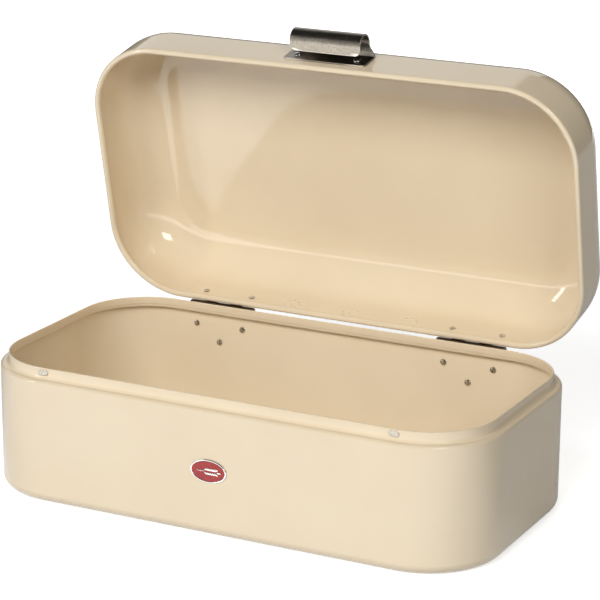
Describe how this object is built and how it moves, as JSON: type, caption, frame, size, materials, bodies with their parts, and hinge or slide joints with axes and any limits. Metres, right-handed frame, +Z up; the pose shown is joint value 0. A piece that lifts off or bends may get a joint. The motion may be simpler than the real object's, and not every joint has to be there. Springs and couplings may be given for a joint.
{
  "type": "bread bin",
  "caption": "Oblong pressed steel bread bin with rounded corners, a raised inner neck and a domed hinged lid standing open, with a bent steel grip.",
  "frame": {"origin": "centre of the base's flat underside, which stands on the worktop", "axes": "+X along the bin's length to the right seen from the front, +Z up, so the front with the badge faces -Y and the hinged side +Y"},
  "size_m": [0.42, 0.2809, 0.3502],
  "materials": {
    "cream_enamel": "glossy baked enamel on pressed steel",
    "hinge_steel": "dark satin steel sheet",
    "pin_steel": "drawn steel wire, satin",
    "rivet_steel": "bright steel, fine turned marks",
    "handle_steel": "grainy brushed steel sheet",
    "silicone": "clear soft silicone",
    "badge_metal": "polished plated rim",
    "badge_enamel": "glossy dark red enamel"
  },
  "bodies": {
    "base": {"base_shell": "cream_enamel", "hinge_left_base_leaf": "hinge_steel", "hinge_right_base_leaf": "hinge_steel", "hinge_left_pin": "pin_steel", "hinge_right_pin": "pin_steel", "hinge_left_base_rivet_1": "rivet_steel", "hinge_left_base_rivet_2": "rivet_steel", "hinge_left_base_rivet_3": "rivet_steel", "hinge_right_base_rivet_1": "rivet_steel", "hinge_right_base_rivet_2": "rivet_steel", "hinge_right_base_rivet_3": "rivet_steel", "badge_rim": "badge_metal", "badge_field": "badge_enamel", "bumper_left": "silicone", "bumper_right": "silicone"},
    "lid": {"lid_shell": "cream_enamel", "handle": "handle_steel", "handle_rivet_left": "rivet_steel", "handle_rivet_right": "rivet_steel", "hinge_left_lid_leaf": "hinge_steel", "hinge_right_lid_leaf": "hinge_steel", "hinge_left_lid_rivet_1": "rivet_steel", "hinge_left_lid_rivet_2": "rivet_steel", "hinge_right_lid_rivet_1": "rivet_steel", "hinge_right_lid_rivet_2": "rivet_steel"}
  },
  "joints": [
    {"name": "lid_hinge", "type": "hinge", "parent": "base", "child": "lid", "pos_m": [0, 0.1158, 0.1033], "axis": [1, 0, 0], "range_deg": [0, 77.96]}
  ]
}
